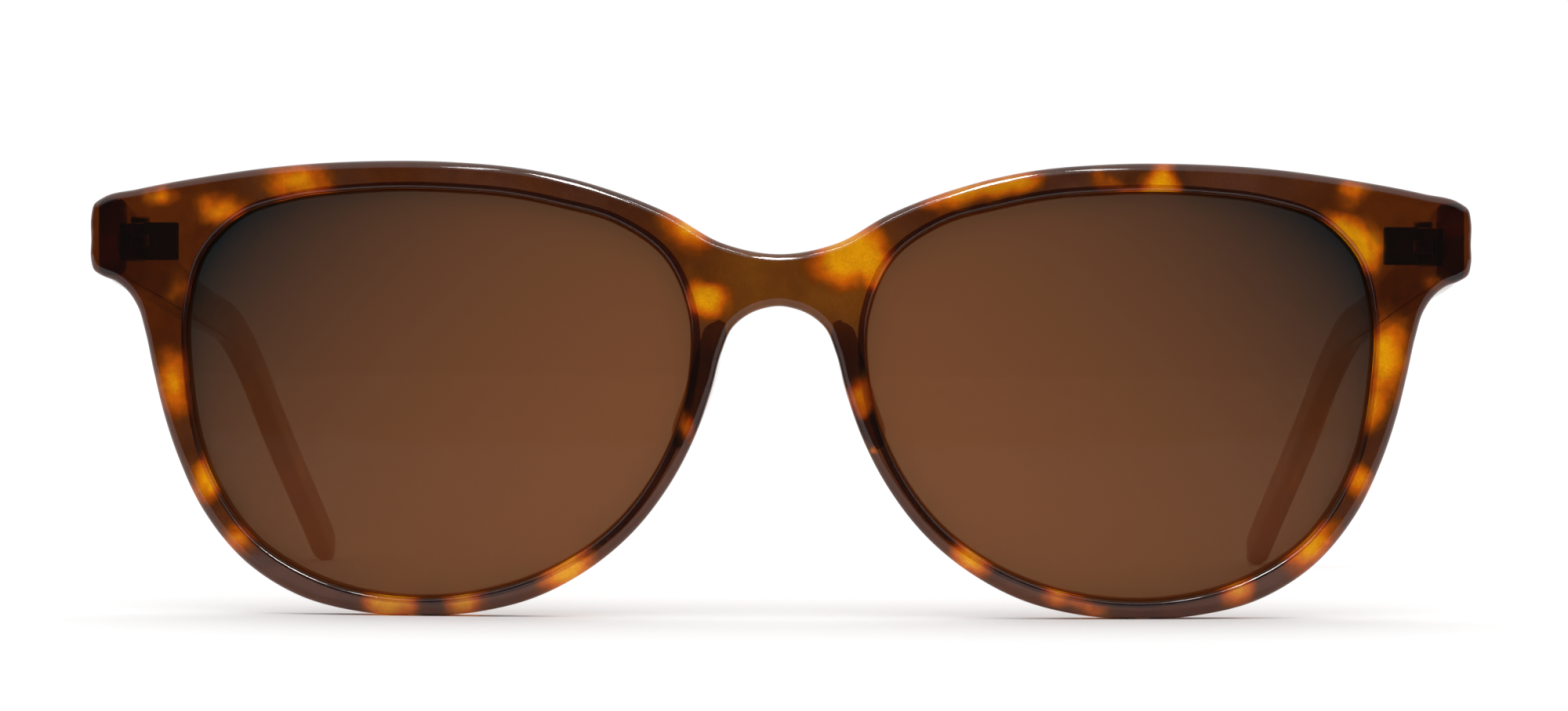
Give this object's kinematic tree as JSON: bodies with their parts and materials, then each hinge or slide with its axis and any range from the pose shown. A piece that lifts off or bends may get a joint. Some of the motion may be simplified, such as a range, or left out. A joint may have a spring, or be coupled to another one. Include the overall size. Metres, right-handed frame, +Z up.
{
  "type": "cat eye sunglasses",
  "caption": "Cat eye sunglasses with a polished tortoise acetate front, gradient brown lenses, glued nose pads and folding wire-cored temples.",
  "frame": {"origin": "on the table, under the middle of the open glasses' bounding box", "axes": "+X to the wearer's left, +Y back from the front towards the ears, +Z up; the front faces -Y"},
  "size_m": [0.143, 0.1436, 0.0464],
  "materials": {
    "tortoise_acetate": "polished translucent brown and amber tortoise",
    "tinted_lens": "clear gloss, tint graded from near black at the upper outer corner to warm brown",
    "hinge_metal": "satin nickel silver",
    "screw_metal": "polished steel",
    "core_metal": "satin nickel silver"
  },
  "bodies": {
    "front": {"front_frame": "tortoise_acetate", "lens_right": "tinted_lens", "lens_left": "tinted_lens", "nose_pad_right": "tortoise_acetate", "nose_pad_left": "tortoise_acetate", "front_hinge_right": "hinge_metal", "front_hinge_left": "hinge_metal", "hinge_screw_right": "screw_metal", "hinge_screw_left": "screw_metal"},
    "temple_left_arm": {"temple_left": "tortoise_acetate", "temple_hinge_left": "hinge_metal", "core_wire_left": "core_metal"},
    "temple_right_arm": {"temple_right": "tortoise_acetate", "temple_hinge_right": "hinge_metal", "core_wire_right": "core_metal"}
  },
  "joints": [
    {"name": "temple_left_fold", "type": "hinge", "parent": "front", "child": "temple_left_arm", "pos_m": [0.0668, -0.05744, 0.0383], "axis": [0, 0, 1], "range_deg": [0, 87]},
    {"name": "temple_right_fold", "type": "hinge", "parent": "front", "child": "temple_right_arm", "pos_m": [-0.0668, -0.05744, 0.0383], "axis": [0, 0, -1], "range_deg": [0, 78]}
  ]
}
